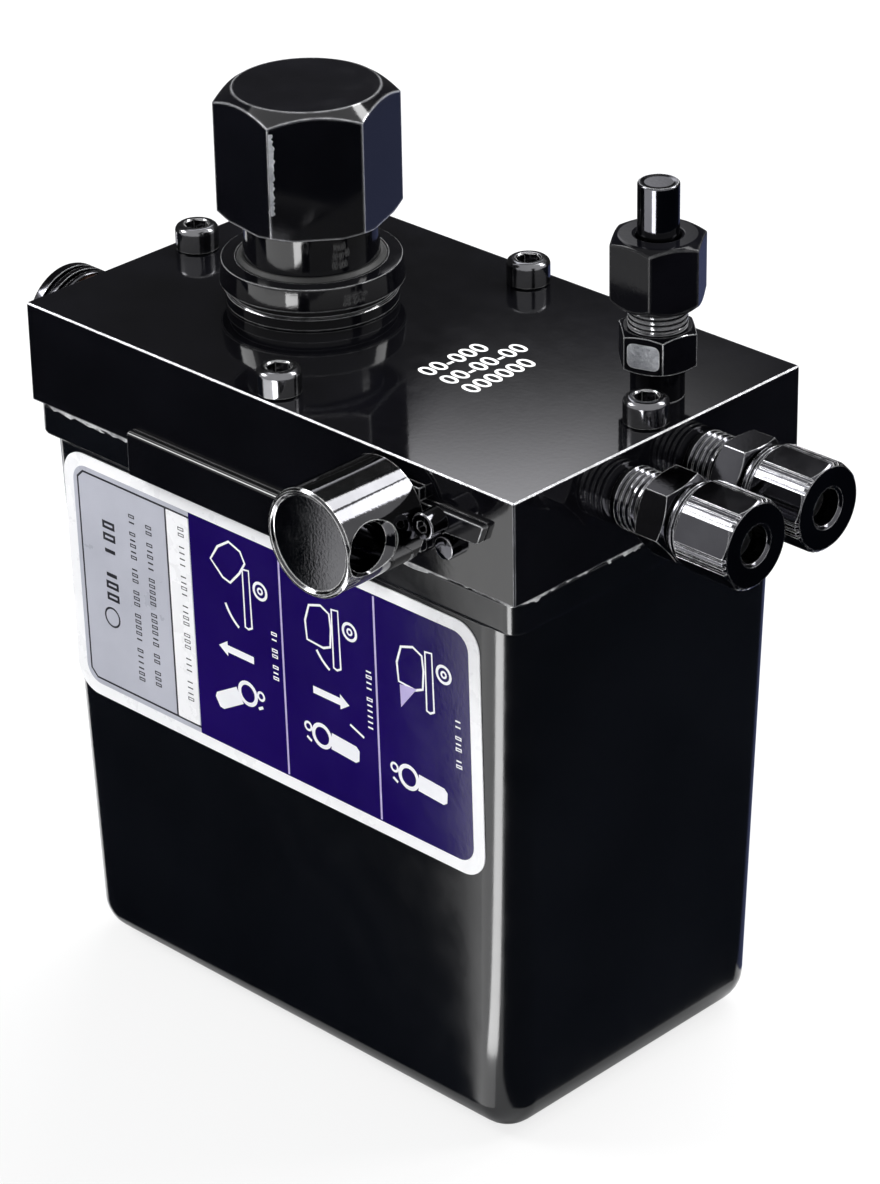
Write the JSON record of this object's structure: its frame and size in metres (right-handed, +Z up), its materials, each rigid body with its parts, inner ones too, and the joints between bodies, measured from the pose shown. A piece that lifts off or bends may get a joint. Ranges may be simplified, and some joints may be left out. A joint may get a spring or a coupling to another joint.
{
  "type": "hydraulic hand pump reservoir",
  "caption": "Black hand pump on a tapered oil tank, with a rocking hexagon drive head, a turning selector knob and capped fittings for its two oil lines.",
  "frame": {"origin": "centre of the tank's flat underside", "axes": "+Z up along the drive shaft, +X towards the two side ports, -Y towards the label and the selector knob"},
  "size_m": [0.1945, 0.115, 0.2135],
  "materials": {
    "black_paint": "glossy black enamel over steel, worn bright along the edges",
    "tank_paint": "glossy black enamel over deep-drawn steel",
    "label_print": "printed foil with pictograms of the selector's positions",
    "gasket": "squeezed sealing compound, pale grey",
    "black_fitting": "glossy black enamel over turned steel",
    "screw_steel": "painted over with the block, bright where a key has rubbed",
    "bright_steel": "ground steel",
    "zinc_steel": "zinc plated steel",
    "spring_steel": "drawn spring wire",
    "ball_steel": "polished bearing balls",
    "valve_brass": "turned brass",
    "bush_bronze": "sintered bronze",
    "copper": "soft copper washer",
    "seal_rubber": "black nitrile rubber"
  },
  "bodies": {
    "pump": {"pump_block": "black_paint", "tank": "tank_paint", "tank_gasket": "gasket", "cover_screws": "screw_steel", "front_strip": "black_paint", "label_plate": "label_print", "shaft_collar": "black_fitting", "shaft_bush": "bush_bronze", "shaft_retaining_ring": "spring_steel", "shaft_dust_seal": "seal_rubber", "bore_end_plug": "zinc_steel", "end_plug_seal": "seal_rubber", "end_plug_ring": "spring_steel", "suction_seat": "valve_brass", "suction_ball": "ball_steel", "suction_spring": "spring_steel", "suction_tube": "zinc_steel", "suction_strainer": "valve_brass", "delivery_seat": "valve_brass", "delivery_ball": "ball_steel", "delivery_spring": "spring_steel", "relief_body": "valve_brass", "relief_ball": "ball_steel", "relief_spring": "spring_steel", "relief_adjuster": "zinc_steel", "return_tube": "zinc_steel", "filler_plug": "black_fitting", "filler_washer": "copper", "keeper_plate": "black_fitting", "keeper_screw": "black_fitting", "stop_dowel": "bright_steel", "locating_pin": "black_fitting", "detent_ball": "ball_steel", "detent_spring": "spring_steel", "detent_screw": "zinc_steel", "port_adaptors": "black_fitting", "port_nuts": "black_fitting", "port_cutting_rings": "zinc_steel", "top_adaptor": "black_fitting", "top_nut": "black_fitting", "top_cutting_ring": "zinc_steel", "top_stub": "black_fitting"},
    "shaft": {"drive_shaft": "black_fitting", "shaft_oil_seal": "seal_rubber"},
    "plunger": {"plunger": "bright_steel", "plunger_seals": "seal_rubber"},
    "selector": {"selector_spool": "bright_steel", "selector_seals": "seal_rubber", "selector_knob": "black_fitting", "knob_pin": "spring_steel"}
  },
  "joints": [
    {"name": "shaft_rock", "type": "hinge", "parent": "pump", "child": "shaft", "pos_m": [-0.0295, 0.0005, 0.163], "axis": [0, 0, 1], "range_deg": [-30, 30]},
    {"name": "plunger_stroke", "type": "slide", "parent": "pump", "child": "plunger", "axis": [1, 0, 0], "range_m": [-0.005, 0.005]},
    {"name": "selector_turn", "type": "hinge", "parent": "pump", "child": "selector", "pos_m": [0.0403, 0, 0.15145], "axis": [0, 1, 0], "range_deg": [-45, 45]}
  ],
  "couplings": [
    {"joint": "plunger_stroke", "follows": "shaft_rock", "m_per_rad": 0.0087}
  ]
}
